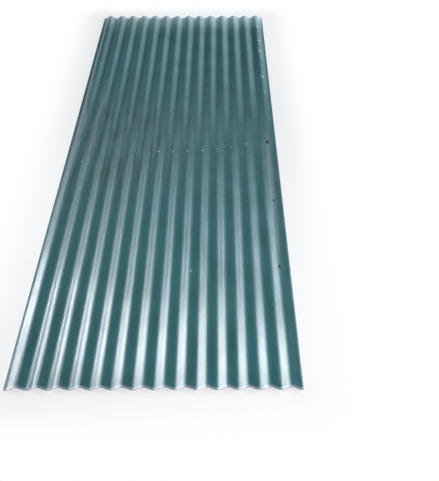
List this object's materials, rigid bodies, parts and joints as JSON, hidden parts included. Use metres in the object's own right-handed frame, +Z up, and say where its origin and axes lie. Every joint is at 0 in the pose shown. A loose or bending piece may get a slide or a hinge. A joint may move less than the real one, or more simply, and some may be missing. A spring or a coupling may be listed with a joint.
{
  "type": "corrugated fiberglass panel",
  "caption": "Thin glossy fiberglass sheet moulded in round waves along its length, with square-cut ends and trimmed side edges.",
  "frame": {"origin": "on the floor, under the middle of the sheet as it lies on its troughs", "axes": "+X across the waves, +Y along them, +Z up from the face that the sheet lies on"},
  "size_m": [1.08, 3.048, 0.02],
  "materials": {
    "fiberglass": "gloss"
  },
  "bodies": {
    "root": {"corrugated_sheet": "fiberglass"}
  },
  "joints": []
}
